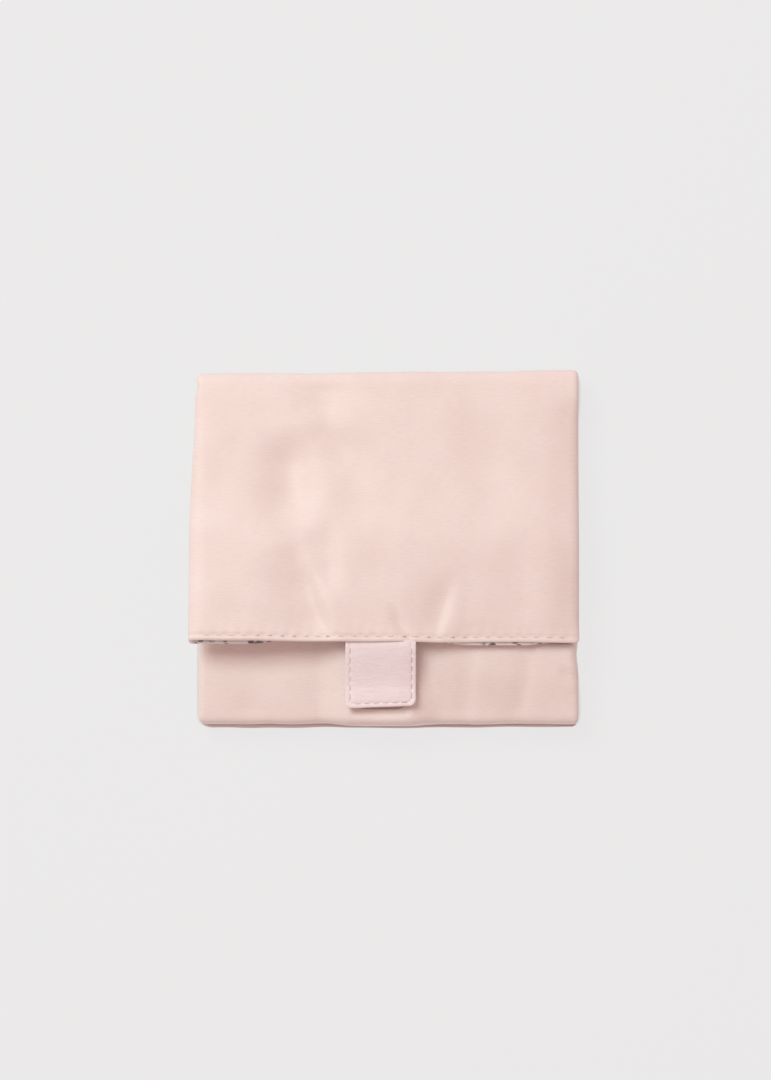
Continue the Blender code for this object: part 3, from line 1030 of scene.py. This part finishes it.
# ------------------------------------------------------------------ light, table and camera
VIEW_HEIGHT = 0.4997                 # metres across the picture's long side, at the pad
VIEW_LEVEL = 0.02                    # the height above the table at which that is so
KEY_PLACE = (-0.73, 0.84, 1.50)
KEY_SIZE = 0.95
KEY_POWER = 20.0
KEY_COLOUR = (0.94, 1.0, 0.985)
SURROUND = 0.60
SURROUND_COLOUR = (1.0, 0.71, 0.695, 1)
LENS = 100
SENSOR = 36
VIEW_X = 0.5 * MM                    # the place straight below the camera
VIEW_Y = 4.9 * MM
TABLE_GLOW = 0.757
TABLE_DROP = 0.2 * MM                # of the table below the pad's lowest point


def area_light(name, place, target, size, power, colour):
    """A round soft light that shines from a place towards a target."""
    data = bpy.data.lights.new(name, "AREA")
    data.shape = "DISK"
    data.size = size
    data.energy = power
    data.color = colour
    light = bpy.data.objects.new(name, data)
    light.location = place
    light.rotation_euler = (Vector(target) - Vector(place)).to_track_quat("-Z", "Y").to_euler()
    bpy.context.scene.collection.objects.link(light)


def make_studio():
    """A pale table under a large soft key light from the top left, and a bright even surround."""
    bpy.ops.mesh.primitive_plane_add(size=8.0, location=(0, 0, -TABLE_DROP))
    table = bpy.context.object
    table.name = "studio_table"
    table.data.materials.append(floor_material())
    area_light("key_light", KEY_PLACE, (0, 0, 0), KEY_SIZE, KEY_POWER, KEY_COLOUR)
    world = bpy.data.worlds.new("studio_surround")
    world.use_nodes = True
    background = world.node_tree.nodes["Background"]
    background.inputs["Color"].default_value = SURROUND_COLOUR
    background.inputs["Strength"].default_value = SURROUND
    bpy.context.scene.world = world
    bpy.context.scene.view_settings.view_transform = "Standard"


def make_camera():
    """The photograph's view: from straight above, through a long lens."""
    data = bpy.data.cameras.new("camera")
    data.lens = LENS
    data.sensor_width = SENSOR
    data.clip_end = 20
    camera = bpy.data.objects.new("camera", data)
    camera.location = (VIEW_X, VIEW_Y, VIEW_HEIGHT * LENS / SENSOR + VIEW_LEVEL)
    bpy.context.scene.collection.objects.link(camera)
    bpy.context.scene.camera = camera


# ------------------------------------------------------------------ the pad
HEM_STITCH = 3.4 * MM                # length of one hem stitch
HEM_THREAD = 0.17 * MM               # radius of its thread
HEM_END = 6 * MM                     # from a row's side to the first hem stitch


def make_pad():
    """Every piece of the pad: the rows, tab, patches and stitches ride the bodies of the frame, and the
    two folds stay fixed where they are made.
    """
    satin = satin_material()
    lining = lining_material()
    leather = leather_material()
    thread = thread_material()
    tape = tape_material()
    bodies = {"front": "front_row", "back": "back_row", "flap": "flap_row"}
    for region, (quilt, sheet, length) in make_quilt().items():
        quilt.data.materials.append(satin)
        sheet.data.materials.append(lining)
        if region in bodies:
            for piece in (quilt, sheet):
                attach(piece, bodies[region])
            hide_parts(f"{region}_lining")
        else:
            for piece in (quilt, sheet):
                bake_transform(piece)
        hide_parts(f"{region}_shell", f"{region}_wadding")
    stitch_piece("flap_hem_stitches", hem_seam("flap", FLAP_LEFT + HEM_END, RIGHT - HEM_END),
                 HEM_STITCH, HEM_THREAD, thread, "flap_row", "flap_hem_thread")
    stitch_piece("front_hem_stitches", hem_seam("front", BODY_LEFT + HEM_END, RIGHT - HEM_END),
                 HEM_STITCH, HEM_THREAD, thread, "front_row", "front_hem_thread")
    make_tab(leather, thread)
    make_patch("hook_patch", "hook_tape", "tab", tape)
    make_patch("loop_patch", "loop_tape", "front_row", tape)


make_camera()
make_studio()
make_pad()
